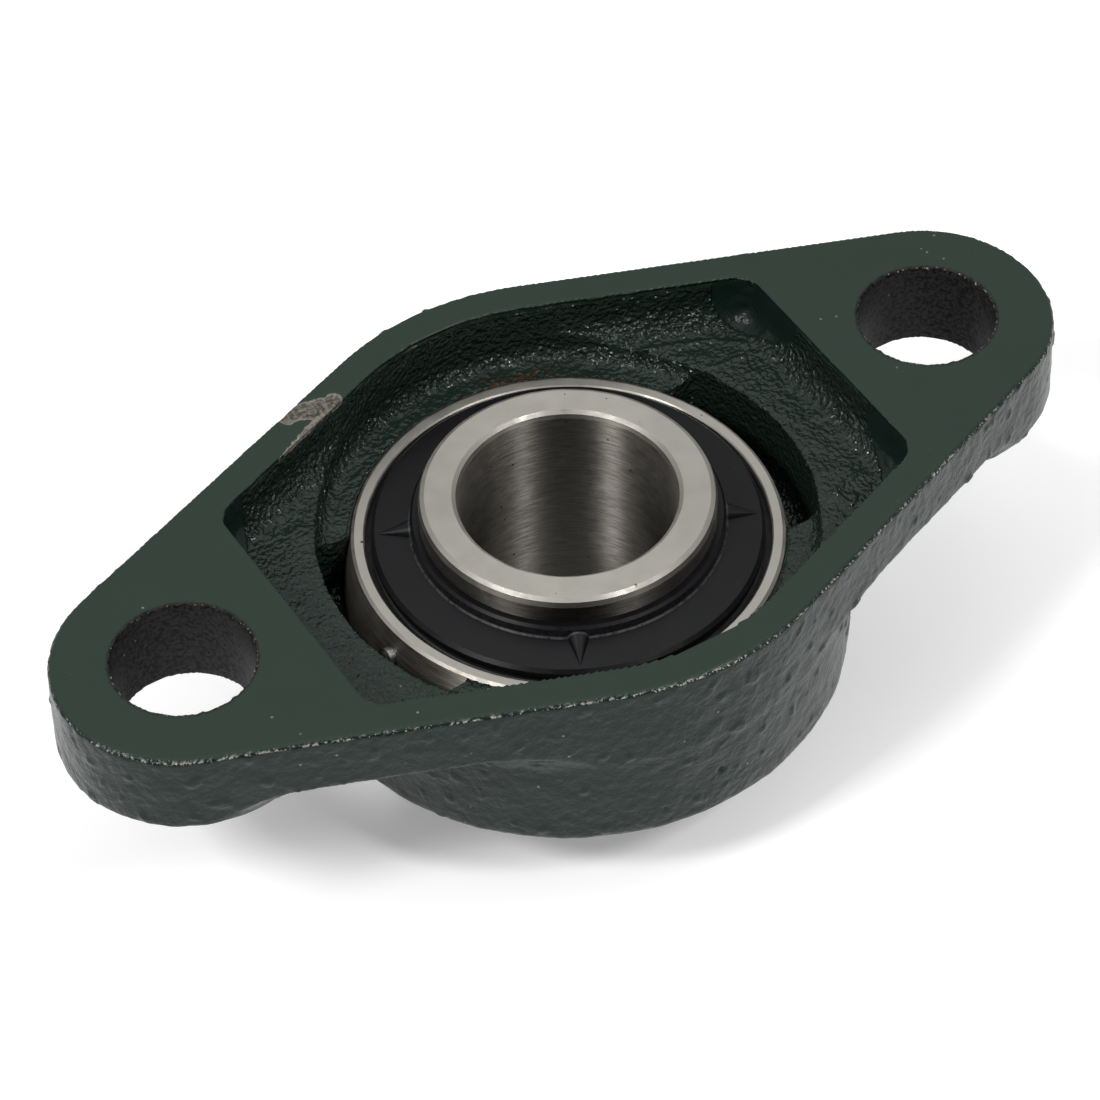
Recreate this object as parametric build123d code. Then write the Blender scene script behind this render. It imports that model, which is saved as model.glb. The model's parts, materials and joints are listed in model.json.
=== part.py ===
from build123d import *
import math
import os

# Two-bolt flange bearing unit for a 25 mm shaft.
# Frame: origin on the mounting face, midway between the bolt holes, on the shaft axis.
# +X runs through the bolt holes, +Z points out of the mounting face, away from the nose.
# The bearing insert is drawn about its own centre and then dropped to the seat's centre.

# Housing, mm
BOLT_SPACING = 99.0
BOLT_HOLE_RADIUS = 8.0
EAR_RADIUS = 15.1
HUB_RADIUS = 33.1
WEB_THICKNESS = 8.0
EAR_THICKNESS = 11.5
HUB_HEIGHT = 25.0
HUB_DRAFT = 0.5
RIM_ROUNDING = 0.6
RIM_WIDTH = 4.6
POCKET_HALF_LENGTH = 35.7
POCKET_DEPTH = 6.2
POCKET_CORNER_RADIUS = 3.6
POCKET_FLOOR_FILLET = 2.8
RECESS_DEPTH = 8.1
SLOT_WIDTH = 25.5
SEAT_CENTRE = -16.0

# Bearing insert, mm, along the shaft from the centre of the balls
OUTER_RADIUS = 26.0
OUTER_HALF_WIDTH = 8.0
BORE_RADIUS = 12.5
INNER_RADIUS = 17.0
SHORT_END = 14.3
LONG_END = 19.8
BALL_DIAMETER = 7.938
PITCH_RADIUS = 19.52
BALL_COUNT = 9
BALL_GAP = 0.05
RACEWAY_RADIUS = 4.13
SEAT_GAP = 0.06

# Outer ring, mm
SHOULDER_RADIUS = 22.25
FACE_INNER_RADIUS = 23.3
FACE_OUTER_RADIUS = 24.45
SEAL_SEAT = 6.0
SEAL_GROOVE_RADIUS = 23.6

# Flingers and seals, mm
FLINGER_RADIUS = 22.5
COLLAR_RADIUS = 18.0
COLLAR_TOP = 11.15
SHEET = 0.9
GUSSET_RADIUS = 1.45
GUSSET_LENGTH = 3.9
GUSSET_AXIS = 9.3
GUSSET_DROP = 0.25
GUSSET_COUNT = 4
GUSSET_TURN = 61.5
PLATE_THICKNESS = 0.6
LIP_GAP = 0.06

# Cage, mm
CAGE_SHEET = 0.8
CAGE_INSIDE = 18.1
CAGE_OUTSIDE = 20.95
RIVET_RADIUS = 0.6

# Locating pin: its bearing round the shaft and its angle above the plane of the balls
PIN_AZIMUTH = -173.6
PIN_LIFT = 10.4
PIN_RADIUS = 1.05
PIN_GAP = 0.05
PIN_DOME = 27.1

# Set screws, M6 by 5, mm
SCREW_POSITION = -14.8
SCREW_AZIMUTHS = (-150.0, -30.0)
SCREW_RADIUS = 3.0
SCREW_CREST_GAP = 0.07
SCREW_THREAD_DEPTH = 0.45
SCREW_PITCH = 1.0
SCREW_LENGTH = 5.0
SCREW_TIP = 13.0
SCREW_KEY = 3.0

# Grease nipple, M6 by 1, on the +Y side of the hub, mm
NIPPLE_HEIGHT = -19.3
NIPPLE_SEAT = 32.2
NIPPLE_KEY = 7.0
GROOVE_HEIGHT = -20.5
GROOVE_WIDTH = 3.0
LUBE_HOLE_HEIGHT = -4.8
VALVE_BALL_RADIUS = 1.0


def turned(corners):
    """Solid turned about the shaft axis from (radius, height) corners."""
    outline = Polyline(*[(radius, 0, height) for radius, height in corners], close=True)
    return revolve(make_face(outline), Axis.Z)


def radial(azimuth, lift=0.0):
    """Location at the centre whose +Z points outwards at an azimuth, raised by a lift angle."""
    return Rotation(0, 0, azimuth) * Rotation(0, 90 - lift, 0)


def rhombus(ear_radius, hub_radius):
    """Face bounded by two ear circles, the hub circle and their common tangents."""
    ears = Locations((BOLT_SPACING / 2, 0), (-BOLT_SPACING / 2, 0))
    circles = Circle(hub_radius) + [place * Circle(ear_radius) for place in ears]
    return make_hull(circles.edges())


def fillet_ring(radius, size):
    """Concave ring that blends a round boss of this radius into the web above it."""
    ring = turned([
        (radius - 1, -WEB_THICKNESS),
        (radius + size, -WEB_THICKNESS),
        (radius + size, -WEB_THICKNESS - size),
        (radius - 1, -WEB_THICKNESS - size),
    ])
    return ring - Pos(0, 0, -WEB_THICKNESS - size) * Torus(radius + size, size)


def ear():
    """Boss round one bolt hole, thicker than the web, with a rounded foot."""
    boss = Pos(0, 0, -EAR_THICKNESS / 2) * Cylinder(EAR_RADIUS, EAR_THICKNESS)
    return fillet(boss.edges().sort_by(Axis.Z)[0], 1.2) + fillet_ring(EAR_RADIUS, 3.0)


def hub():
    """Round hub under the flange, narrowing slightly to a rounded nose."""
    nose = HUB_RADIUS - HUB_DRAFT
    boss = turned([
        (0, 0),
        (HUB_RADIUS, 0),
        (HUB_RADIUS, -WEB_THICKNESS),
        (nose, -HUB_HEIGHT),
        (0, -HUB_HEIGHT),
    ])
    return fillet(boss.edges().sort_by(Axis.Z)[0], 1.5) + fillet_ring(HUB_RADIUS, 3.5)


def housing_body():
    """Solid flange, ear bosses and hub, before anything is cored out."""
    outline = rhombus(EAR_RADIUS, HUB_RADIUS)
    bosses = hub() + Pos(BOLT_SPACING / 2, 0) * ear() + Pos(-BOLT_SPACING / 2, 0) * ear()
    bosses &= extrude(outline, -HUB_HEIGHT)
    body = extrude(outline, -WEB_THICKNESS) + bosses
    rim = body.edges().filter_by(lambda e: e.bounding_box().min.Z > -0.01)
    return fillet(rim, RIM_ROUNDING)


def back_pocket():
    """Pocket cored into the mounting face, with walls parallel to the rim."""
    outline = rhombus(EAR_RADIUS - RIM_WIDTH, HUB_RADIUS - RIM_WIDTH)
    outline &= Rectangle(2 * POCKET_HALF_LENGTH, 2 * HUB_RADIUS)
    corners = outline.vertices().filter_by(lambda v: abs(v.X) > POCKET_HALF_LENGTH - 0.01)
    outline = fillet(corners, POCKET_CORNER_RADIUS)
    pocket = extrude(outline, -POCKET_DEPTH)
    return fillet(pocket.faces().sort_by(Axis.Z)[0].edges(), POCKET_FLOOR_FILLET)


def seat_recess():
    """Round recess at the pocket's floor, down to the rim of the ball seat."""
    radius = HUB_RADIUS - RIM_WIDTH
    recess = Pos(0, 0, -RECESS_DEPTH / 2) * Cylinder(radius, RECESS_DEPTH)
    return fillet(recess.faces().sort_by(Axis.Z)[0].edges(), 1.6)


def loading_slots():
    """Two slots, opposite each other, that let the insert in edgewise before it is turned."""
    depth = -SEAT_CENTRE
    disc = Pos(0, 0, -depth / 2) * Cylinder(HUB_RADIUS - RIM_WIDTH, depth)
    slots = disc & Pos(0, 0, -depth / 2) * Box(2 * HUB_RADIUS, SLOT_WIDTH, depth)
    return fillet(slots.faces().sort_by(Axis.Z)[0].edges(), 1.5)


def nipple_port():
    """Spot face, tapped hole and drilled passage from the nipple to the grease groove."""
    spot = Pos(0, 0, NIPPLE_SEAT + 2) * Cylinder(5.2, 4)
    tapped = Pos(0, 0, NIPPLE_SEAT - 2.5) * Cylinder(3.0, 6)
    passage = Pos(0, 0, 28) * Cylinder(1.2, 6)
    return Pos(0, 0, NIPPLE_HEIGHT) * radial(90) * (spot + tapped + passage)


def grease_groove():
    """Groove round the seat that carries grease to the holes in the outer ring."""
    top = GROOVE_HEIGHT + GROOVE_WIDTH / 2
    bottom = GROOVE_HEIGHT - GROOVE_WIDTH / 2
    return turned([(24, bottom), (26.9, bottom + 0.3), (26.9, top - 0.3), (24, top)])


def housing():
    """Cast-iron housing."""
    body = housing_body()
    body -= back_pocket() + seat_recess() + loading_slots()
    body -= Pos(0, 0, SEAT_CENTRE) * Sphere(OUTER_RADIUS + SEAT_GAP)
    body -= turned([(0, -24), (24.8, -24), (26.0, -HUB_HEIGHT - 0.2), (0, -HUB_HEIGHT - 0.2)])
    body -= grease_groove()
    body -= nipple_port()
    for side in (-1, 1):
        hole = Pos(side * BOLT_SPACING / 2, 0) * Cylinder(BOLT_HOLE_RADIUS, 3 * EAR_THICKNESS)
        body -= hole
    return body


def half_ring_profile():
    """Inner outline of the outer ring, from the raceway's middle to one face."""
    return [
        (SHOULDER_RADIUS, 0),
        (SHOULDER_RADIUS, SEAL_SEAT),
        (SEAL_GROOVE_RADIUS, SEAL_SEAT),
        (SEAL_GROOVE_RADIUS, SEAL_SEAT + PLATE_THICKNESS + 0.15),
        (FACE_INNER_RADIUS, SEAL_SEAT + PLATE_THICKNESS + 0.35),
        (FACE_INNER_RADIUS, OUTER_HALF_WIDTH - 0.15),
        (FACE_INNER_RADIUS + 0.15, OUTER_HALF_WIDTH),
        (FACE_OUTER_RADIUS, OUTER_HALF_WIDTH),
        (OUTER_RADIUS + 1, OUTER_HALF_WIDTH - 1.6),
    ]


def raceway(edge_radius):
    """Ring-shaped groove cutter, centred on the balls, that leaves them a running gap."""
    ball_radius = BALL_DIAMETER / 2
    shift = RACEWAY_RADIUS - ball_radius - BALL_GAP
    centre = PITCH_RADIUS - shift if edge_radius > PITCH_RADIUS else PITCH_RADIUS + shift
    return Torus(centre, RACEWAY_RADIUS)


def outer_ring():
    """Hardened ring, spherical outside, with seal seats, pin hole and lubrication holes."""
    upper = half_ring_profile()
    lower = [(radius, -height) for radius, height in reversed(upper)]
    ring = turned(upper + lower[:-1]) & Sphere(OUTER_RADIUS)
    ring -= raceway(SHOULDER_RADIUS)
    blind = Pos(0, 0, 25) * Cylinder(PIN_RADIUS + PIN_GAP, 3)
    ring -= radial(PIN_AZIMUTH, PIN_LIFT) * blind
    for azimuth in (PIN_AZIMUTH, PIN_AZIMUTH + 180):
        hole = radial(azimuth) * Pos(0, 0, 24) * Cylinder(0.75, 6)
        ring -= Pos(0, 0, LUBE_HOLE_HEIGHT) * hole
    return ring


def inner_ring():
    """Extended inner ring with the shaft bore and two tapped holes in its long end."""
    ring = turned([
        (BORE_RADIUS, SHORT_END - 0.85),
        (BORE_RADIUS + 0.2, SHORT_END - 0.35),
        (BORE_RADIUS + 0.65, SHORT_END),
        (INNER_RADIUS - 0.75, SHORT_END),
        (INNER_RADIUS - 0.25, SHORT_END - 0.3),
        (INNER_RADIUS, SHORT_END - 0.9),
        (INNER_RADIUS, 0.9 - LONG_END),
        (INNER_RADIUS - 0.6, -LONG_END),
        (BORE_RADIUS + 1.0, -LONG_END),
        (BORE_RADIUS, 1.0 - LONG_END),
    ])
    ring -= raceway(INNER_RADIUS)
    for azimuth in SCREW_AZIMUTHS:
        hole = radial(azimuth) * Pos(0, 0, 15) * Cylinder(SCREW_RADIUS, 8)
        ring -= Pos(0, 0, SCREW_POSITION) * hole
    return ring


def gusset():
    """Pressed rib that stiffens the corner between the flinger's collar and its disc."""
    start = COLLAR_RADIUS - 0.4
    underside = 8.6
    lean = math.degrees(math.atan2(GUSSET_DROP, GUSSET_LENGTH))
    rib = Pos(0, 0, GUSSET_LENGTH / 2) * Cone(GUSSET_RADIUS, 0.08, GUSSET_LENGTH)
    rib = Pos(start, 0, GUSSET_AXIS) * Rotation(0, 90 + lean, 0) * rib
    return rib - Pos(start, 0, underside - 5) * Box(20, 10, 10)


def flinger():
    """Pressed plate on the inner ring that throws dirt and water away from the seal."""
    plate = turned([
        (INNER_RADIUS, COLLAR_TOP),
        (COLLAR_RADIUS - 0.3, COLLAR_TOP),
        (COLLAR_RADIUS, COLLAR_TOP - 0.3),
        (COLLAR_RADIUS, 9.75),
        (COLLAR_RADIUS + 0.2, 9.55),
        (FLINGER_RADIUS - 0.4, 8.95),
        (FLINGER_RADIUS, 8.55),
        (FLINGER_RADIUS, 7.75),
        (FLINGER_RADIUS - SHEET + 0.2, 7.75),
        (FLINGER_RADIUS - SHEET + 0.2, 8.15),
        (COLLAR_RADIUS + 0.3, 8.55),
        (INNER_RADIUS, 8.55),
    ])
    for turn in range(GUSSET_COUNT):
        plate += Rotation(0, 0, GUSSET_TURN + turn * 360 / GUSSET_COUNT) * gusset()
    return plate


def seal_plate():
    """Thin steel washer pressed into the outer ring's groove; carries the rubber lip."""
    bottom = SEAL_SEAT
    top = SEAL_SEAT + PLATE_THICKNESS
    outside = SEAL_GROOVE_RADIUS
    return turned([
        (18.6, bottom),
        (outside, bottom),
        (outside, top),
        (22.6, top),
        (22.2, top + 0.25),
        (21.0, top + 0.25),
        (20.6, top),
        (18.6, top),
    ])


def seal_lip():
    """Rubber lip bonded to the seal plate, wiping the inner ring."""
    bottom = SEAL_SEAT - 0.1
    top = SEAL_SEAT + PLATE_THICKNESS
    wiper = INNER_RADIUS + LIP_GAP
    return turned([
        (18.6, bottom),
        (18.6, top),
        (20.2, top),
        (20.0, top + 0.3),
        (18.0, top + 0.35),
        (17.5, top + 0.8),
        (wiper, top + 0.8),
        (17.35, top),
        (wiper, bottom + 0.25),
        (wiper, bottom),
    ])


def ball(index):
    """One of the bearing balls."""
    turn = Rotation(0, 0, index * 360 / BALL_COUNT)
    return turn * Pos(PITCH_RADIUS, 0, 0) * Sphere(BALL_DIAMETER / 2)


def rivet_places():
    """Locations of the cage rivets, midway between the balls."""
    step = 360 / BALL_COUNT
    return [Rotation(0, 0, (i + 0.5) * step) * Pos(PITCH_RADIUS, 0, 0) for i in range(BALL_COUNT)]


def cage_half():
    """Upper half of the pressed ribbon cage: flats between the balls and an arch over each."""
    inside = BALL_DIAMETER / 2 + 0.08
    ribbon = turned([
        (CAGE_INSIDE, 0),
        (CAGE_OUTSIDE, 0),
        (CAGE_OUTSIDE, 6),
        (CAGE_INSIDE, 6),
    ])
    flats = turned([
        (CAGE_INSIDE, 0),
        (CAGE_OUTSIDE, 0),
        (CAGE_OUTSIDE, CAGE_SHEET),
        (CAGE_INSIDE, CAGE_SHEET),
    ])
    for index in range(BALL_COUNT):
        place = Rotation(0, 0, index * 360 / BALL_COUNT) * Pos(PITCH_RADIUS, 0, 0)
        flats += place * Sphere(inside + CAGE_SHEET) & ribbon
    for index in range(BALL_COUNT):
        place = Rotation(0, 0, index * 360 / BALL_COUNT) * Pos(PITCH_RADIUS, 0, 0)
        flats -= place * Sphere(inside)
    for place in rivet_places():
        flats -= place * Cylinder(RIVET_RADIUS, 4)
    return flats


def cage_rivets():
    """Rivets with flat heads that hold the two cage halves together."""
    head = Cylinder(0.95, 0.4)
    lift = CAGE_SHEET + 0.2
    rivet = Cylinder(RIVET_RADIUS, 2 * CAGE_SHEET) + Pos(0, 0, lift) * head + Pos(0, 0, -lift) * head
    return Compound([place * rivet for place in rivet_places()])


def locating_pin():
    """Domed pin in the outer ring that runs in a loading slot and stops the ring creeping."""
    shank = Pos(0, 0, 25.2) * Cylinder(PIN_RADIUS, 3.2)
    dome = Pos(0, 0, PIN_DOME - 1.3) * Sphere(1.3) & Pos(0, 0, 26.6) * Cylinder(PIN_RADIUS, 1.4)
    return radial(PIN_AZIMUTH, PIN_LIFT) * (shank + dome)


def thread_profile(length, crest, depth, pitch):
    """Corners of a ridged shank that stands for a screw thread, as (radius, height)."""
    corners = []
    for ridge in range(round(length / pitch)):
        base = ridge * pitch
        corners += [
            (crest - depth, base + 0.06 * pitch),
            (crest, base + 0.44 * pitch),
            (crest, base + 0.56 * pitch),
            (crest - depth, base + 0.94 * pitch),
        ]
    return corners


def set_screw(azimuth):
    """Socket set screw with a cup point, backed out just clear of the bore."""
    crest = SCREW_RADIUS - SCREW_CREST_GAP
    ridges = thread_profile(SCREW_LENGTH, crest, SCREW_THREAD_DEPTH, SCREW_PITCH)
    screw = turned([(0, 0.5), (1.3, 0), (1.7, 0)] + ridges + [(2.0, SCREW_LENGTH), (0, SCREW_LENGTH)])
    socket = extrude(RegularPolygon(SCREW_KEY / 2, 6, major_radius=False), 2.4)
    screw -= Pos(0, 0, SCREW_LENGTH - 2.4) * socket
    return Pos(0, 0, SCREW_POSITION) * radial(azimuth) * Pos(0, 0, SCREW_TIP) * screw


def nipple_frame():
    """Location of the grease nipple's seat, with +Z along the nipple."""
    return Pos(0, 0, NIPPLE_HEIGHT) * radial(90) * Pos(0, 0, NIPPLE_SEAT)


def grease_nipple_body():
    """Threaded shank, hexagon, neck and button head, bored for the valve."""
    ridges = thread_profile(5, 2.95, 0.45, 1.0)
    shank = turned([(0, -5)] + [(radius, height - 5) for radius, height in ridges] + [(2.5, 0), (0, 0)])
    hexagon = extrude(RegularPolygon(NIPPLE_KEY / 2, 6, major_radius=False), 3)
    hexagon &= turned([(0, 0), (3.7, 0), (4.1, 0.4), (4.1, 2.6), (3.7, 3), (0, 3)])
    head = turned([
        (0, 3),
        (2.3, 3),
        (2.3, 4.3),
        (3.05, 5.0),
        (3.25, 5.6),
        (3.05, 6.2),
        (2.0, 8.1),
        (1.7, 8.4),
        (0, 8.4),
    ])
    bore = turned([
        (0, -5.1),
        (0.7, -5.1),
        (0.7, 0.6),
        (1.15, 0.6),
        (1.15, 6.9),
        (0.6, 7.55),
        (0.6, 8.0),
        (0.9, 8.5),
        (0, 8.5),
    ])
    return nipple_frame() * (shank + hexagon + head - bore)


def grease_nipple_ball():
    """Check ball just under the nipple's mouth."""
    return nipple_frame() * Pos(0, 0, 6.6) * Sphere(VALVE_BALL_RADIUS)


def grease_nipple_spring():
    """Coil spring that holds the check ball against its seat."""
    coil = Helix(pitch=0.8, height=4.8, radius=0.8)
    wire = Plane(origin=coil @ 0, z_dir=coil % 0) * Circle(0.16)
    return nipple_frame() * Pos(0, 0, 0.85) * sweep(wire, path=coil, is_frenet=True)


def insert_piece(shape):
    """Drop a piece of the bearing insert from its own centre to the seat's centre."""
    return Pos(0, 0, SEAT_CENTRE) * shape


def pieces():
    """Every node of the assembly, by name."""
    found = {"housing": housing()}
    found["outer_ring"] = insert_piece(outer_ring())
    found["inner_ring"] = insert_piece(inner_ring())
    for index in range(BALL_COUNT):
        found[f"ball_{index + 1}"] = insert_piece(ball(index))
    for name, half in (("cage_half", cage_half()), ("flinger", flinger()),
                       ("seal_plate", seal_plate()), ("seal_lip", seal_lip())):
        found[name + "_back"] = insert_piece(half)
        found[name + "_front"] = insert_piece(mirror(half, Plane.XY))
    found["cage_rivets"] = insert_piece(cage_rivets())
    found["locating_pin"] = insert_piece(locating_pin())
    for number, azimuth in enumerate(SCREW_AZIMUTHS, 1):
        found[f"set_screw_{number}"] = insert_piece(set_screw(azimuth))
    found["grease_nipple_body"] = grease_nipple_body()
    found["grease_nipple_ball"] = grease_nipple_ball()
    found["grease_nipple_spring"] = grease_nipple_spring()
    return found


os.makedirs("parts", exist_ok=True)
for name, shape in pieces().items():
    export_step(shape, f"parts/{name}.step")
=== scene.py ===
import json
import math

import bpy
import numpy as np
from mathutils import Matrix, Vector, noise


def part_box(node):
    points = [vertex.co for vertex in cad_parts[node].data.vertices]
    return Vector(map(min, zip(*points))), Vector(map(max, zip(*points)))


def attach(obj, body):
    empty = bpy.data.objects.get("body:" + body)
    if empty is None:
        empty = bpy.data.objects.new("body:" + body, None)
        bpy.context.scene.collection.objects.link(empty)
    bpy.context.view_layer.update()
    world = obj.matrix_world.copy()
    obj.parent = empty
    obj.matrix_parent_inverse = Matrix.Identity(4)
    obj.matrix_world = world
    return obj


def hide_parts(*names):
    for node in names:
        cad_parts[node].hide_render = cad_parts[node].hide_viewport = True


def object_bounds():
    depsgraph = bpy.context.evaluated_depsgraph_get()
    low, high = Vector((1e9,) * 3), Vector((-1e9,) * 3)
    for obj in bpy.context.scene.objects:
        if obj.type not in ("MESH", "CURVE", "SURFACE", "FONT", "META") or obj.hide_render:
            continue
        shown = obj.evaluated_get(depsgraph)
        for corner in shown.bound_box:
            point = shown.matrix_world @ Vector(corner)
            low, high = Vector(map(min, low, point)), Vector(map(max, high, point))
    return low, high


# Looks of a two-bolt flange bearing unit: a green-painted iron casting round a steel bearing insert.
# Everything is in metres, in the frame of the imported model. MM turns millimetres into metres.
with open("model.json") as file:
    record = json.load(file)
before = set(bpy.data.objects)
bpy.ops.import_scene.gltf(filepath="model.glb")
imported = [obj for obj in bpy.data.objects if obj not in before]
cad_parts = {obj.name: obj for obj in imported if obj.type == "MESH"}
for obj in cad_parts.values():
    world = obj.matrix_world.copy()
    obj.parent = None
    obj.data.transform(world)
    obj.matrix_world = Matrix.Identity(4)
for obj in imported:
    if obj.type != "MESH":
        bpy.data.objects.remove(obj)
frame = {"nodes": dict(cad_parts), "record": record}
cad_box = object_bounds()
nodes = frame["nodes"]
mounts = {mount["name"]: mount for mount in frame["record"]["mounts"]}
MM = 0.001

# Camera: bearing round the object, angle above the floor and roll in degrees, distance, and how far
# the origin lies right of and above the picture's middle. Lens and sensor are in millimetres.
CAMERA_AZIMUTH = -31.01
CAMERA_ELEVATION = 46.94
CAMERA_ROLL = 1.34
CAMERA_DISTANCE = 517 * MM
CAMERA_PAN = (1.95 * MM, 7.75 * MM)
CAMERA_LENS = 150.0
CAMERA_SENSOR = 36

# Surroundings: brightness all round, and in a dim gap at one bearing. The gap is at its dimmest up to
# DIM_CORE degrees from that bearing, and ends DIM_REACH degrees from it.
SURROUND_WHITE = 0.60
SURROUND_DIM = 0.04
DIM_BEARING = -121.0
DIM_CORE = 20
DIM_REACH = 48

# Floor
FLOOR_Z = cad_box[0].z
FLOOR_HALF_WIDTH = 3.0
FLOOR_GLOW = 0.22

# Places on the casting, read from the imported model
HOLE_X = mounts["bolt_holes"]["dims"]["spacing_x_mm"] / 2 * MM
HOLE_RADIUS = mounts["bolt_holes"]["dims"]["hole_r_mm"] * MM
SEAT_CLEARANCE = 0.06 * MM
SEAT_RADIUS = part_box("outer_ring")[1].x + SEAT_CLEARANCE
SEAT_Z = sum(corner.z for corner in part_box("outer_ring")) / 2
HUB_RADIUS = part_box("housing")[1].y

# Back pocket: its reach from the shaft axis, and its depth below the mounting face
POCKET_REACH = 36.5 * MM
POCKET_DEPTH = 17 * MM

# Cast skin: voxel size, and depths and heights of its relief in millimetres
SKIN_VOXEL = 0.3 * MM
LUMP_DEPTH = 0.22
WAVE_DEPTH = 0.17
GRAIN_DEPTH = 0.10
POCKET_WAVE_EXTRA = 0.05
POCKET_GRAIN_EXTRA = 0.13
DRILLED_DEPTH = 0.03
BORDER_DEPTH = 0.22
PIMPLE_HEIGHT = 0.16
DENT_DEPTH = 0.6
CHIP_DEPTH = 0.12

# Dents in the hub's side: bearing in degrees, Z and radius in millimetres
DENTS = (
    (-90.7, -17.8, 0.75), (-103.0, -20.9, 0.6), (-91.7, -21.5, 0.5), (-94.3, -22.0, 0.45),
    (-138.8, -13.4, 0.3), (28, -16, 0.6), (71, -20, 0.5), (152, -12, 0.6), (-35, -19, 0.45),
)

# Ridges on the pocket's floor: start, end, half width and height, in millimetres. The first three lie
# by the far wall, and the last three draw an open triangle at the pocket's right-hand end.
RIDGES = (
    ((19, 19.6, -6.2), (30, 15.6, -6.2), 0.5, 0.28),
    ((30, 15.6, -6.2), (33, 12.9, -6.0), 0.5, 0.22),
    ((27.5, 11.8, -6.2), (31.8, 11.4, -6.2), 0.45, 0.25),
    ((28, -12.7, -6.2), (32.1, -11.6, -6.0), 0.4, 0.3),
    ((28, -12.7, -6.2), (28.4, -15.3, -6.2), 0.4, 0.3),
    ((28.4, -15.3, -6.2), (33.4, -13.2, -5.6), 0.45, 0.25),
)

# Colours of the casting
GREEN_DEEP = (0.0065, 0.0205, 0.0115, 1)
GREEN_PALE = (0.0105, 0.0270, 0.0165, 1)
# Cast outside: a greyer green that paints in the grey reflection of the surroundings
GREEN_PAINTED_REFLECTION_OUTSIDE = (0.0055, 0.0125, 0.0105, 1)
GREEN_POCKET = (0.0095, 0.0160, 0.0130, 1)
IRON_DARK = (0.004, 0.004, 0.004, 1)
IRON_PALE = (0.022, 0.022, 0.022, 1)
CHIP_DARK = (0.040, 0.036, 0.028, 1)
CHIP_PALE = (0.20, 0.185, 0.155, 1)
WORN_EDGE = (0.50, 0.47, 0.41, 1)
RUST = (0.10, 0.030, 0.008, 1)

# Roughness and specular level of the casting: mounting face, cast outside, pocket, bores, worn paint
ROUGHNESS = {"face": 0.36, "cast": 0.27, "pocket": 0.08, "bored": 0.46, "worn": 0.48}
SPECULAR = {"face": 0.38, "cast": 0.21, "pocket": 0.33, "bored": 0.08}

# Colours of the bearing insert: ground faces, tarnish with painted shade, rubbed and chamfered places,
# pits, black oxide and a highlight painted on it
GROUND_DULL = (0.46, 0.44, 0.395, 1)
GROUND_BRIGHT = (0.55, 0.53, 0.48, 1)
# Near-black brown for the rings' outer sides: tarnish with painted shade
TARNISH_AND_SHADE = (0.02, 0.017, 0.014, 1)
RUBBED = (0.33, 0.31, 0.28, 1)
CHAMFERED = (0.28, 0.265, 0.24, 1)
PITTED = (0.03, 0.026, 0.022, 1)
OXIDE_DARK = (0.0030, 0.0032, 0.0038, 1)
OXIDE_PALE = (0.0060, 0.0062, 0.0074, 1)
OXIDE_SCUFFED = (0.03, 0.03, 0.032, 1)
# Pale grey of the highlight painted along the flinger's bend
OXIDE_PAINTED_HIGHLIGHT = (0.10, 0.10, 0.105, 1)

# Radius of the bend in the flingers, along which a highlight is painted
FLINGER_BEND = 18.12 * MM


def link(thing):
    """Put a new object in the scene."""
    bpy.context.scene.collection.objects.link(thing)
    return thing


# ---------------------------------------------------------------- camera, floor and light


def make_camera():
    """Camera that looks down on the mounting face from the near left."""
    azimuth = math.radians(CAMERA_AZIMUTH)
    elevation = math.radians(CAMERA_ELEVATION)
    level = math.cos(elevation)
    back = Vector((math.sin(azimuth) * level, -math.cos(azimuth) * level, math.sin(elevation)))
    right = Vector((math.cos(azimuth), math.sin(azimuth), 0))
    axes = Matrix((right, back.cross(right), back)).transposed()
    axes = axes @ Matrix.Rotation(-math.radians(CAMERA_ROLL), 3, "Z")
    camera = link(bpy.data.objects.new("camera", bpy.data.cameras.new("camera")))
    camera.data.sensor_width = CAMERA_SENSOR
    camera.data.lens = CAMERA_LENS
    camera.data.clip_start = 0.01
    camera.data.clip_end = 20
    place = axes @ Vector((-CAMERA_PAN[0], -CAMERA_PAN[1], CAMERA_DISTANCE))
    camera.matrix_world = Matrix.Translation(place) @ axes.to_4x4()
    bpy.context.scene.camera = camera


def softbox(name, bearing, height, distance, size, power):
    """Square soft light at a bearing round the object and an angle above the floor, aimed at it."""
    turn = math.radians(bearing)
    lift = math.radians(height)
    level = math.cos(lift)
    away = Vector((math.cos(turn) * level, math.sin(turn) * level, math.sin(lift)))
    data = bpy.data.lights.new(name, "AREA")
    data.size = size
    data.energy = power
    lamp = link(bpy.data.objects.new(name, data))
    lamp.location = away * distance
    lamp.rotation_euler = away.to_track_quat("Z", "Y").to_euler()


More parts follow.
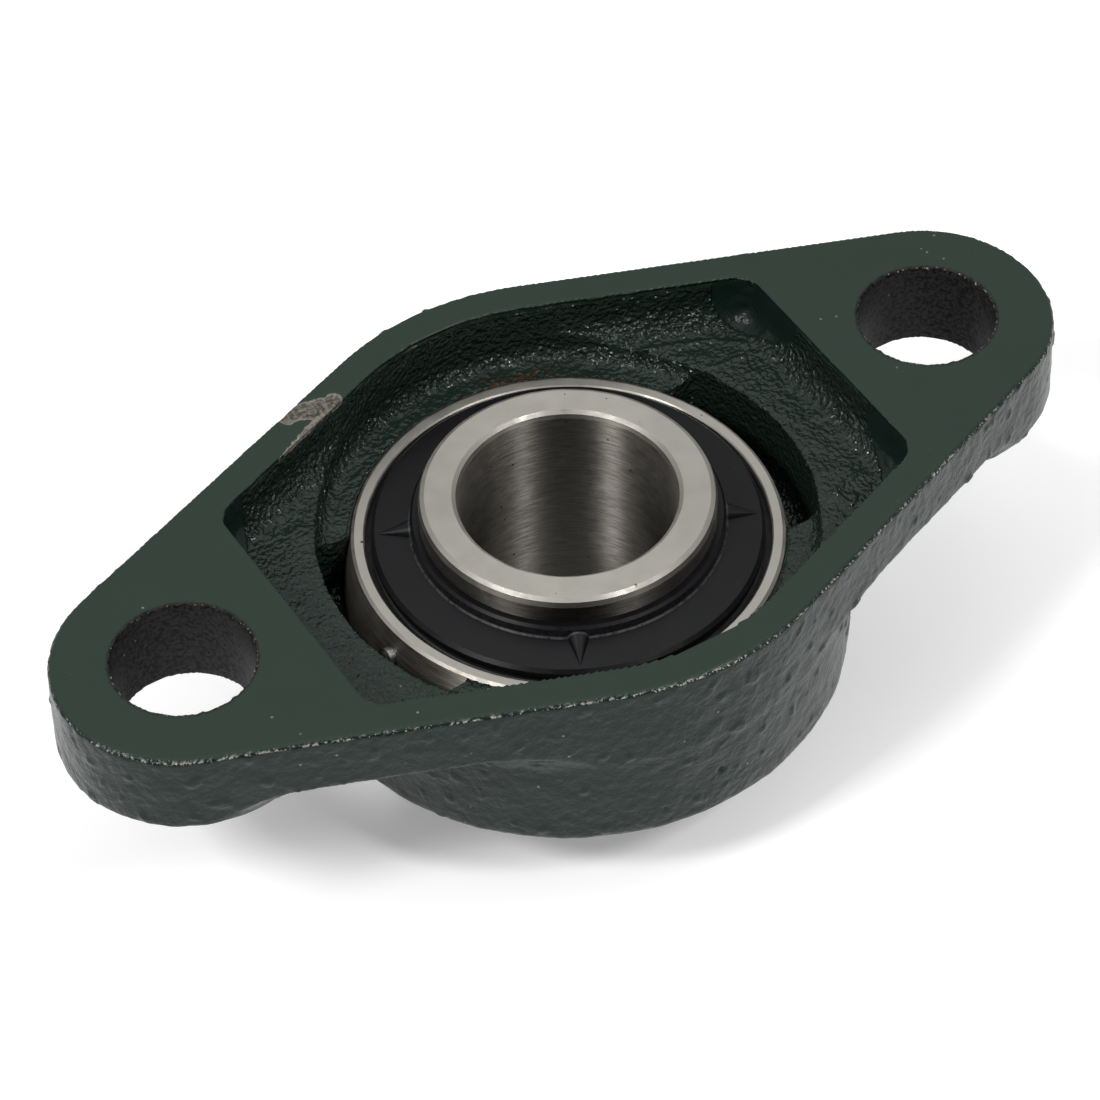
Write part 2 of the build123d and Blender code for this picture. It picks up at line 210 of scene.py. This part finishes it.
def surround():
    """White surroundings with a dim gap between the two front soft boxes."""
    world = bpy.data.worlds.new("studio")
    world.use_nodes = True
    bpy.context.scene.world = world
    tree = world.node_tree
    background = tree.nodes["Background"]
    background.inputs["Color"].default_value = (1.0, 1.0, 1.0, 1)
    way = tree.nodes.new("ShaderNodeTexCoord").outputs["Generated"]
    flat = tree.nodes.new("ShaderNodeVectorMath")
    flat.operation = "MULTIPLY"
    flat.inputs[1].default_value = (1, 1, 0)
    level = tree.nodes.new("ShaderNodeVectorMath")
    level.operation = "NORMALIZE"
    front = tree.nodes.new("ShaderNodeVectorMath")
    front.operation = "DOT_PRODUCT"
    turn = math.radians(DIM_BEARING)
    front.inputs[1].default_value = (math.cos(turn), math.sin(turn), 0)
    dim = tree.nodes.new("ShaderNodeMapRange")
    dim.interpolation_type = "SMOOTHSTEP"
    reach = math.cos(math.radians(DIM_REACH))
    core = math.cos(math.radians(DIM_CORE))
    # After the value itself come the range's two ends and what each of them becomes
    for socket, value in zip(list(dim.inputs)[1:5], (reach, core, SURROUND_WHITE, SURROUND_DIM)):
        socket.default_value = value
    tree.links.new(way, flat.inputs[0])
    tree.links.new(flat.outputs[0], level.inputs[0])
    tree.links.new(level.outputs[0], front.inputs[0])
    tree.links.new(front.outputs["Value"], dim.inputs["Value"])
    tree.links.new(dim.outputs["Result"], background.inputs["Strength"])


def make_floor():
    """Pale paper under the object."""
    ends = (-FLOOR_HALF_WIDTH, FLOOR_HALF_WIDTH)
    mesh = bpy.data.meshes.new("floor")
    mesh.from_pydata([(x, y, FLOOR_Z) for y in ends for x in ends], [], [(0, 1, 3, 2)])
    floor = link(bpy.data.objects.new("floor", mesh))
    paper = Graph("floor_paper")
    paper.set(Base_Color=(0.93, 0.93, 0.93, 1), Roughness=0.9, Specular_IOR_Level=0.1,
              Emission_Color=(1, 1, 1, 1), Emission_Strength=FLOOR_GLOW)
    floor.data.materials.append(paper.material)


def make_studio():
    """White surroundings, a pale floor, soft boxes either side of the camera and one above."""
    surround()
    bpy.context.scene.view_settings.view_transform = "Standard"
    softbox("left_box", bearing=-171, height=48, distance=0.9, size=0.16, power=3.9)
    softbox("right_box", bearing=-71, height=52, distance=0.9, size=0.16, power=2.6)
    softbox("top_box", bearing=60, height=80, distance=1.2, size=1.1, power=2.4)
    make_floor()


# ---------------------------------------------------------------- material building


class Graph:
    """A material and short calls that add its nodes."""

    def __init__(self, name):
        self.material = bpy.data.materials.new(name)
        self.material.use_nodes = True
        self.tree = self.material.node_tree
        self.tree.nodes.clear()
        self.shader = self.node("ShaderNodeBsdfPrincipled")
        output = self.node("ShaderNodeOutputMaterial")
        self.tree.links.new(self.shader.outputs["BSDF"], output.inputs["Surface"])
        self.place = self.node("ShaderNodeTexCoord").outputs["Object"]

    def node(self, kind, **settings):
        made = self.tree.nodes.new(kind)
        for key, value in settings.items():
            setattr(made, key, value)
        return made

    def feed(self, socket, value):
        """Link a socket to another one, or set it to a constant."""
        if isinstance(value, bpy.types.NodeSocket):
            self.tree.links.new(value, socket)
        else:
            socket.default_value = value

    def set(self, **values):
        """Feed the shader's sockets; an underscore stands for a space."""
        for key, value in values.items():
            self.feed(self.shader.inputs[key.replace("_", " ")], value)

    def math(self, operation, a, b=0.5, c=0.5, clamp=False):
        """One sum; an operation with fewer than three terms ignores the rest."""
        made = self.node("ShaderNodeMath", operation=operation, use_clamp=clamp)
        for socket, value in zip(made.inputs, (a, b, c)):
            self.feed(socket, value)
        return made.outputs[0]

    def times(self, *values):
        """Product of two or more values."""
        product = values[0]
        for value in values[1:]:
            product = self.math("MULTIPLY", product, value)
        return product

    def plus(self, a, b):
        return self.math("ADD", a, b)

    def minus(self, a, b):
        return self.math("SUBTRACT", a, b)

    def larger(self, a, b):
        return self.math("MAXIMUM", a, b)

    def ramp(self, value, low, high, to_low=0.0, to_high=1.0):
        """Smooth step of a value between two levels."""
        made = self.node("ShaderNodeMapRange", interpolation_type="SMOOTHSTEP")
        for socket, given in zip(made.inputs, (value, low, high, to_low, to_high)):
            self.feed(socket, given)
        return made.outputs[0]

    def mix(self, share, low, high):
        """Blend of two colours; the node numbers its colour inputs 6 and 7."""
        made = self.node("ShaderNodeMix", data_type="RGBA")
        self.feed(made.inputs["Factor"], share)
        self.feed(made.inputs[6], low)
        self.feed(made.inputs[7], high)
        return made.outputs[2]

    def blend(self, share, low, high):
        """Blend of two numbers; the node numbers its number inputs 2 and 3."""
        made = self.node("ShaderNodeMix", data_type="FLOAT")
        self.feed(made.inputs["Factor"], share)
        self.feed(made.inputs[2], low)
        self.feed(made.inputs[3], high)
        return made.outputs[0]

    def noise(self, size, detail=2.0, roughness=0.5, at=None, distortion=0.0):
        """Noise from 0 to 1 with grains of about this size, in metres."""
        made = self.node("ShaderNodeTexNoise")
        self.feed(made.inputs["Vector"], at or self.place)
        made.inputs["Scale"].default_value = 1 / size
        made.inputs["Detail"].default_value = detail
        made.inputs["Roughness"].default_value = roughness
        made.inputs["Distortion"].default_value = distortion
        return made.outputs["Fac"]

    def cells(self, size):
        """Distance to the nearest of scattered points, in cells, and a random colour per point."""
        made = self.node("ShaderNodeTexVoronoi")
        self.feed(made.inputs["Vector"], self.place)
        made.inputs["Scale"].default_value = 1 / size
        return made.outputs["Distance"], made.outputs["Color"]

    def stretched(self, x, y, z):
        """The object's coordinates, scaled along each axis."""
        made = self.node("ShaderNodeVectorMath", operation="MULTIPLY")
        self.feed(made.inputs[0], self.place)
        made.inputs[1].default_value = (x, y, z)
        return made.outputs[0]

    def split(self, vector):
        """A vector's X, Y and Z."""
        parts = self.node("ShaderNodeSeparateXYZ")
        self.feed(parts.inputs[0], vector)
        return tuple(parts.outputs)

    def radius(self):
        """Distance from the shaft axis."""
        x, y, _ = self.split(self.place)
        return self.math("SQRT", self.plus(self.times(x, x), self.times(y, y)))

    def round_shaft(self, scale):
        """Coordinates round the shaft axis: scaled angle, height and radius."""
        x, y, z = self.split(self.place)
        joined = self.node("ShaderNodeCombineXYZ")
        self.feed(joined.inputs[0], self.times(self.math("ARCTAN2", y, x), scale))
        self.feed(joined.inputs[1], z)
        self.feed(joined.inputs[2], self.radius())
        return joined.outputs[0]

    def attribute(self, name):
        return self.node("ShaderNodeAttribute", attribute_name=name).outputs["Fac"]

    def facing_up(self):
        """The Z part of the surface's own direction."""
        return self.split(self.node("ShaderNodeNewGeometry").outputs["Normal"])[2]

    def bump(self, pattern, height, under=None):
        """Relief from a pattern, this many metres high, laid over an earlier one."""
        made = self.node("ShaderNodeBump")
        made.inputs["Distance"].default_value = height
        self.feed(made.inputs["Height"], pattern)
        if under is not None:
            self.feed(made.inputs["Normal"], under)
        return made.outputs["Normal"]


def pits(look, size, share):
    """Small scattered pits: 1 inside a pit, 0 elsewhere; share is how many cells hold one."""
    distance, colour = look.cells(size)
    parts = look.node("ShaderNodeSeparateColor")
    look.feed(parts.inputs[0], colour)
    chosen = look.math("LESS_THAN", parts.outputs[0], share)
    width = look.math("MULTIPLY_ADD", parts.outputs[1], 0.09, 0.03)
    return look.times(look.math("LESS_THAN", distance, width), chosen)


# ---------------------------------------------------------------- the housing's cast skin


def rough(points, size, seed):
    """Smooth noise from -1 to 1 at each point, with lumps of about this size."""
    shift = Vector((seed * 17.3, seed * 5.1, seed * 9.7))
    return np.array([noise.noise(Vector(point) / size + shift) for point in points])


def step(values, low, high):
    """Smooth step from 0 at low to 1 at high."""
    share = np.clip((values - low) / (high - low), 0, 1)
    return share * share * (3 - 2 * share)


def segment_distance(points, start, end):
    """Distance of each point from a straight segment, whose ends are given in millimetres."""
    start = np.array(start) * MM
    along = np.array(end) * MM - start
    share = np.clip((points - start) @ along / (along @ along), 0, 1)
    return np.linalg.norm(points - start - share[:, None] * along, axis=1)


def even_mesh(node, voxel):
    """Copy of a CAD node's mesh, rebuilt from even small quads."""
    source = link(bpy.data.objects.new("source", nodes[node].data.copy()))
    remesh = source.modifiers.new("even", "REMESH")
    remesh.mode = "VOXEL"
    remesh.voxel_size = voxel
    remesh.use_smooth_shade = True
    remeshed = source.evaluated_get(bpy.context.evaluated_depsgraph_get())
    mesh = bpy.data.meshes.new_from_object(remeshed)
    bpy.data.objects.remove(source)
    return mesh


def read(mesh, what):
    """Each vertex's position or direction."""
    values = np.zeros(len(mesh.vertices) * 3, np.float32)
    mesh.vertices.foreach_get(what, values)
    return values.reshape(-1, 3).astype(float)


def store(mesh, name, values):
    """Keep a number per vertex for the material to read."""
    made = mesh.attributes.new(name, "FLOAT", "POINT")
    made.data.foreach_set("value", values.astype(np.float32))


def relaxed(points, edges, weight, rounds):
    """Points moved towards their neighbours' mean, where the weight lets them."""
    count = np.bincount(edges.ravel(), minlength=len(points))
    for _ in range(rounds):
        mean = np.empty_like(points)
        for axis in range(3):
            ahead = np.bincount(edges[:, 0], points[edges[:, 1], axis], len(points))
            behind = np.bincount(edges[:, 1], points[edges[:, 0], axis], len(points))
            mean[:, axis] = (ahead + behind) / count
        points = points + 0.5 * weight[:, None] * (mean - points)
    return points


def regions(points, normals):
    """Share of each kind of surface, from 0 to 1, at each point of the plain casting."""
    x, y, z = points.T
    upward = normals[:, 2]
    radius = np.hypot(x, y)
    axis_inward = -(normals[:, 0] * x + normals[:, 1] * y) / np.maximum(radius, MM)
    hole_distance = np.hypot(x - np.sign(x) * HOLE_X, y)
    centred = points - np.array([0, 0, SEAT_Z])
    seat_distance = np.linalg.norm(centred, axis=1)
    seat_inward = -(centred * normals).sum(axis=1) / seat_distance

    face = step(upward, 0.9, 0.97) * step(z, -0.35 * MM, -0.1 * MM)
    hole = 1 - step(hole_distance, HOLE_RADIUS + 0.25 * MM, HOLE_RADIUS + 0.5 * MM)
    seat = 1 - step(np.abs(seat_distance - SEAT_RADIUS), 0.2 * MM, 0.5 * MM)
    seat *= step(seat_inward, 0.5, 0.8)
    pocket = step(-z, 0.5 * MM, 1.0 * MM) * (1 - hole) * (1 - seat)
    pocket *= (radius < POCKET_REACH) * (z > -POCKET_DEPTH)
    pocket *= np.maximum(step(upward, 0.3, 0.6), step(axis_inward, 0.1, 0.4))
    cast = (1 - face) * (1 - hole) * (1 - seat)
    border = cast * step(z, -1.6 * MM, -0.3 * MM) * (1 - pocket)

    # Rounded edges of the mounting face, where paint wears through: less so round the pocket
    edge = step(upward, 0.3, 0.5) * (1 - step(upward, 0.8, 0.94)) * step(z, -0.45 * MM, -0.22 * MM)
    round_pocket = step(axis_inward, -0.9, -0.1) * (hole_distance > HOLE_RADIUS + 1.5 * MM)
    edge *= 1 - 0.6 * round_pocket
    return {"hole": hole, "seat": seat, "pocket": pocket, "cast": cast, "border": border, "edge": edge}


def bare_patch(points):
    """Share of knocked-off paint on the far rim: one blow across it and a scuff along it."""
    across = segment_distance(points, (-21.5, 26.4, 0), (-16.2, 25.4, 0))
    along = segment_distance(points, (-17.0, 24.2, 0), (-25.0, 20.6, 0))
    ragged = 0.5 * rough(points, 2.2 * MM, 5) + 0.3 * rough(points, 0.8 * MM, 6)
    blow = 1 - step(across / MM - 1.3 * ragged, 1.1, 1.9)
    scuff = 1 - step(along / MM - 1.1 * ragged, 0.3, 1.1)
    return np.maximum(blow, 0.85 * scuff) * step(points[:, 2], -1.2 * MM, -0.6 * MM)


def skin_depth(points, share):
    """How far the finished skin lies below each point, in millimetres."""
    cast, pocket = share["cast"], share["pocket"]
    lumps = 0.5 + 0.5 * rough(points, 7 * MM, 1)
    waves = 0.5 + 0.5 * rough(points, 2.6 * MM, 2)
    grains = 0.5 + 0.5 * rough(points, 1.15 * MM, 3)
    depth = cast * (LUMP_DEPTH * lumps + (WAVE_DEPTH + POCKET_WAVE_EXTRA * pocket) * waves
                    + (GRAIN_DEPTH + POCKET_GRAIN_EXTRA * pocket) * grains)
    depth += share["hole"] * DRILLED_DEPTH * grains
    depth += share["border"] * BORDER_DEPTH * np.maximum(rough(points, 1.3 * MM, 4), 0)
    depth -= PIMPLE_HEIGHT * cast * (1 - pocket) * step(rough(points, 1.8 * MM, 8), 0.38, 0.62)
    for bearing, height, size in DENTS:
        turn = math.radians(bearing)
        centre = np.array([math.cos(turn) * HUB_RADIUS, math.sin(turn) * HUB_RADIUS, height * MM])
        gap = np.linalg.norm(points - centre, axis=1)
        depth += DENT_DEPTH * (1 - step(gap, 0.2 * size * MM, size * MM))
    for start, end, width, height in RIDGES:
        gap = segment_distance(points, start, end)
        depth -= height * (1 - step(gap, 0.1 * MM, width * MM)) * cast
    return depth + CHIP_DEPTH * share["chip"] * (0.4 + grains)


def cast_housing():
    """The housing as cast, drilled, bored and painted, in place of the plain CAD node."""
    mesh = even_mesh("housing", SKIN_VOXEL)
    points = read(mesh, "co")
    normals = read(mesh, "normal")
    share = regions(points, normals)

    edges = np.zeros(len(mesh.edges) * 2, np.int64)
    mesh.edges.foreach_get("vertices", edges)
    weight = share["cast"] * step(-points[:, 2], 0.8 * MM, 1.6 * MM)
    points = relaxed(points, edges.reshape(-1, 2), weight, rounds=8)

    share["chip"] = bare_patch(points)
    points = points - normals * (skin_depth(points, share) * MM)[:, None]
    low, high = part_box("housing")
    points = np.clip(points, np.array(low), np.array(high))

    mesh.vertices.foreach_set("co", points.astype(np.float32).ravel())
    for name in ("cast", "pocket", "hole", "seat", "chip", "edge"):
        store(mesh, name, share[name])
    mesh.materials.clear()
    mesh.materials.append(housing_paint().material)
    casting = link(bpy.data.objects.new("housing_casting", mesh))
    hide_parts("housing")
    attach(casting, "housing")


# ---------------------------------------------------------------- the housing's paint


def enamel_colour(look, pocket, outside):
    """Mottled dark green, greyer in the pocket, and greyer and darker on the cast outside as a painted
    reflection of the grey surroundings.
    """
    green = look.mix(look.noise(7 * MM, 7, 0.72), GREEN_DEEP, GREEN_PALE)
    # Painted reflection: the cast outside is greyed as if it mirrored the grey surroundings
    green = look.mix(look.times(outside, 0.85), green, GREEN_PAINTED_REFLECTION_OUTSIDE)
    return look.mix(look.times(pocket, 0.75), green, GREEN_POCKET)


def worn_paint(look):
    """Where paint is gone: along the near edges, in the knocked-off patch and in a few dust specks."""
    gap, _ = look.cells(2.3 * MM)
    dust = look.times(look.ramp(gap, 0.085, 0.05), look.ramp(look.noise(6 * MM, 2), 0.5, 0.62), 0.35)
    _, y, _ = look.split(look.place)
    nearer = look.ramp(y, 12 * MM, -12 * MM, 0.0, 0.085)
    flake = look.minus(look.noise(0.42 * MM, 3, 0.65), look.times(look.noise(9 * MM, 1), 0.16))
    edge = look.times(look.attribute("edge"), look.ramp(look.plus(flake, nearer), 0.52, 0.58))
    torn = look.times(look.noise(0.6 * MM, 4, 0.75), 1.1)
    chip = look.ramp(look.plus(look.attribute("chip"), torn), 0.95, 1.3)
    return look.larger(look.larger(edge, chip), dust)


def bare_colour(look):
    """Iron under the paint: flecked in the knocked-off patch, pale along worn edges."""
    flecks = look.ramp(look.noise(0.4 * MM, 4, 0.75), 0.38, 0.66)
    return look.mix(look.attribute("chip"), WORN_EDGE, look.mix(flecks, CHIP_DARK, CHIP_PALE))


def seat_lip_rust(look):
    """A few small rust specks on the far side of the seat's lip."""
    radius = look.radius()
    x, y, z = look.split(look.place)
    ring = look.times(look.ramp(radius, 24.7 * MM, 24.9 * MM), look.ramp(radius, 27.2 * MM, 26.6 * MM))
    lip = look.ramp(z, -9.5 * MM, -8.6 * MM)
    far = look.ramp(y, 22 * MM, 24 * MM)
    right = look.ramp(x, 3 * MM, 5 * MM)
    specks = look.ramp(look.noise(0.8 * MM, 2, 0.6), 0.5, 0.6)
    return look.times(ring, lip, far, right, specks)


def enamel_relief(look, hole, cast, pocket, outside, worn):
    """Orange peel, pebbled skin and pores of the casting, drill marks and torn paint."""
    peel = look.bump(look.noise(0.45 * MM, 2), 0.014 * MM)
    pebble = look.noise(0.6 * MM, 1, 0.4)
    level = look.ramp(look.facing_up(), 0.80, 0.97)
    coarse = look.times(pocket, look.blend(level, 3.3, 1.3))
    skin = look.times(look.noise(1.1 * MM, 3, 0.55), 0.8)
    relief = look.plus(look.times(pebble, look.plus(coarse, 0.15)), skin)
    pores = look.times(pits(look, 2.6 * MM, 0.4), outside, 0.7)
    grain = look.bump(look.times(look.minus(relief, pores), cast), 0.2 * MM, peel)
    lines = look.noise(0.9 * MM, 3, 0.6, look.stretched(0.6, 0.6, 3.5))
    drilled = look.bump(look.times(lines, hole), 0.05 * MM, grain)
    return look.bump(look.times(look.noise(0.5 * MM, 4, 0.7), worn), 0.05 * MM, drilled)


def housing_paint():
    """Dark green gloss enamel over rough iron, worn through at edges; bare and dark in the bores."""
    look = Graph("housing_enamel")
    hole, seat, cast, pocket = (look.attribute(name) for name in ("hole", "seat", "cast", "pocket"))
    bored = look.larger(hole, seat)
    outside = look.math("SUBTRACT", cast, pocket, clamp=True)
    worn = worn_paint(look)

    iron = look.mix(look.ramp(look.noise(0.45 * MM, 3), 0.35, 0.6), IRON_DARK, IRON_PALE)
    colour = look.mix(bored, enamel_colour(look, pocket, outside), iron)
    colour = look.mix(worn, colour, bare_colour(look))
    colour = look.mix(look.times(seat_lip_rust(look), 0.5), colour, RUST)

    roughness = look.blend(cast, ROUGHNESS["face"], ROUGHNESS["cast"])
    roughness = look.blend(pocket, roughness, ROUGHNESS["pocket"])
    roughness = look.blend(bored, roughness, ROUGHNESS["bored"])
    roughness = look.blend(worn, roughness, ROUGHNESS["worn"])
    specular = look.blend(outside, SPECULAR["face"], SPECULAR["cast"])
    specular = look.blend(bored, specular, SPECULAR["bored"])
    specular = look.blend(pocket, specular, SPECULAR["pocket"])
    look.set(Base_Color=colour, Roughness=roughness, Metallic=look.times(worn, 0.4),
             Specular_IOR_Level=specular,
             Normal=enamel_relief(look, hole, cast, pocket, outside, worn))
    return look


# ---------------------------------------------------------------- finishes of the bearing insert


def ring_steel(name, shaded_wall_dark, shaded_wall_brown, tarnish_and_shade):
    """Bearing steel, ground round the shaft: bright end faces, walls painted darker as shade,
    tarnished outside with more painted shade.
    """
    look = Graph(name)
    upright = look.math("ABSOLUTE", look.facing_up())
    flat = look.ramp(upright, 0.3, 0.55)
    chamfer = look.times(flat, look.ramp(upright, 0.97, 0.92))
    lines = look.noise(0.15 * MM, 3, 0.6, look.round_shaft(0.9 * MM))
    cloud = look.noise(3.5 * MM, 4, 0.6)
    hollow = pits(look, 1.6 * MM, 0.3)

    # Grinding streaks on the walls; their dark level is painted shade
    wall = look.mix(look.ramp(lines, 0.3, 0.7), shaded_wall_dark, shaded_wall_brown)
    outer_side = look.ramp(look.radius(), 14 * MM, 16 * MM)
    # Tarnish with painted shade: the outer side is darkened further
    wall = look.mix(look.times(outer_side, tarnish_and_shade), wall, TARNISH_AND_SHADE)
    wall = look.mix(look.times(look.ramp(cloud, 0.5, 0.8), 0.4), wall, RUBBED)
    colour = look.mix(flat, wall, look.mix(cloud, GROUND_DULL, GROUND_BRIGHT))
    colour = look.mix(look.times(hollow, 0.85), colour, PITTED)
    colour = look.mix(look.times(chamfer, 0.5), colour, CHAMFERED)

    wall_roughness = look.ramp(lines, 0.3, 0.7, 0.40, 0.50)
    roughness = look.blend(flat, wall_roughness, look.ramp(cloud, 0.3, 0.7, 0.30, 0.38))
    roughness = look.blend(chamfer, roughness, look.ramp(cloud, 0.35, 0.65, 0.40, 0.60))
    relief = look.bump(lines, 0.010 * MM)
    relief = look.bump(look.times(hollow, -1.0), 0.05 * MM, relief)
    tangent = look.node("ShaderNodeTangent", direction_type="RADIAL", axis="Z").outputs[0]
    look.set(Base_Color=colour, Metallic=1.0, Roughness=roughness, Normal=relief, Tangent=tangent,
             Anisotropic=look.blend(flat, 1.0, 0.35), Anisotropic_Rotation=0.25)
    return look


def black_oxide(name, roughness):
    """Blackened sheet or bar: near black, satin, mottled, with a painted highlight line along the
    flinger's bend.
    """
    look = Graph(name)
    cloud = look.noise(2.5 * MM, 4, 0.6)
    scuff = look.ramp(look.noise(1.2 * MM, 5, 0.7, distortion=0.6), 0.62, 0.74)
    colour = look.mix(cloud, OXIDE_DARK, OXIDE_PALE)
    colour = look.mix(look.times(scuff, 0.25), colour, OXIDE_SCUFFED)
    # Painted highlight: a pale, patchy line round the flinger's bend
    off_bend = look.math("ABSOLUTE", look.minus(look.radius(), FLINGER_BEND))
    bend = look.ramp(off_bend, 0.16 * MM, 0.05 * MM)
    patchy = look.ramp(look.noise(0.6 * MM, 3, 0.7), 0.3, 0.6)
    colour = look.mix(look.times(bend, patchy, 0.5), colour, OXIDE_PAINTED_HIGHLIGHT)
    look.set(Base_Color=colour, Roughness=look.ramp(cloud, 0.3, 0.7, roughness, roughness + 0.1),
             Specular_IOR_Level=0.22, Normal=look.bump(look.noise(0.35 * MM, 3), 0.006 * MM))
    return look


def plain_steel(name, colour, roughness, size):
    """Small steel pieces: pressed, plated or polished, with fine mottling."""
    look = Graph(name)
    cloud = look.noise(size, 4, 0.6)
    dark = tuple(channel * 0.8 for channel in colour)
    look.set(Base_Color=look.mix(cloud, dark + (1,), colour + (1,)), Metallic=1.0,
             Roughness=look.ramp(cloud, 0.3, 0.7, roughness, roughness + 0.12),
             Normal=look.bump(look.noise(0.3 * MM, 3), 0.004 * MM))
    return look


def seal_rubber():
    """Moulded nitrile rubber, matt black."""
    look = Graph("nitrile_rubber")
    cloud = look.noise(1.5 * MM, 4, 0.6)
    look.set(Base_Color=look.mix(cloud, (0.006, 0.006, 0.006, 1), (0.012, 0.012, 0.012, 1)),
             Roughness=look.ramp(cloud, 0.3, 0.7, 0.5, 0.65),
             Normal=look.bump(look.noise(0.2 * MM, 2), 0.01 * MM))
    return look


def finish_nodes():
    """A finish for every CAD node; the housing's own is hidden by its casting."""
    # Each ring's two wall colours are kept dark as painted shade; the last number darkens the outer
    # side with tarnish and painted shade
    inner = ring_steel("inner_ring_steel", (0.145, 0.133, 0.116, 1), (0.235, 0.222, 0.20, 1), 0.6)
    outer = ring_steel("outer_ring_steel", (0.20, 0.178, 0.148, 1), (0.42, 0.39, 0.34, 1), 0.4)
    black = black_oxide("flinger_black", 0.30)
    screw = black_oxide("screw_black", 0.38)
    pressed = plain_steel("pressed_steel", (0.52, 0.52, 0.51), 0.34, 2 * MM)
    polished = plain_steel("polished_steel", (0.76, 0.75, 0.72), 0.26, 3 * MM)
    plated = plain_steel("zinc_plate_steel", (0.62, 0.60, 0.52), 0.26, 1.5 * MM)
    rubber = seal_rubber()
    finishes = {
        "housing": pressed, "inner_ring": inner, "outer_ring": outer, "locating_pin": polished,
        "flinger": black, "seal_plate": rubber, "seal_lip": rubber, "ball": polished, "cage": pressed,
        "set_screw": screw, "grease_nipple_body": plated, "grease_nipple_ball": polished,
        "grease_nipple_spring": pressed,
    }
    for node, thing in nodes.items():
        start = next(start for start in finishes if node.startswith(start))
        thing.data.materials.clear()
        thing.data.materials.append(finishes[start].material)


make_camera()
make_studio()
cast_housing()
finish_nodes()
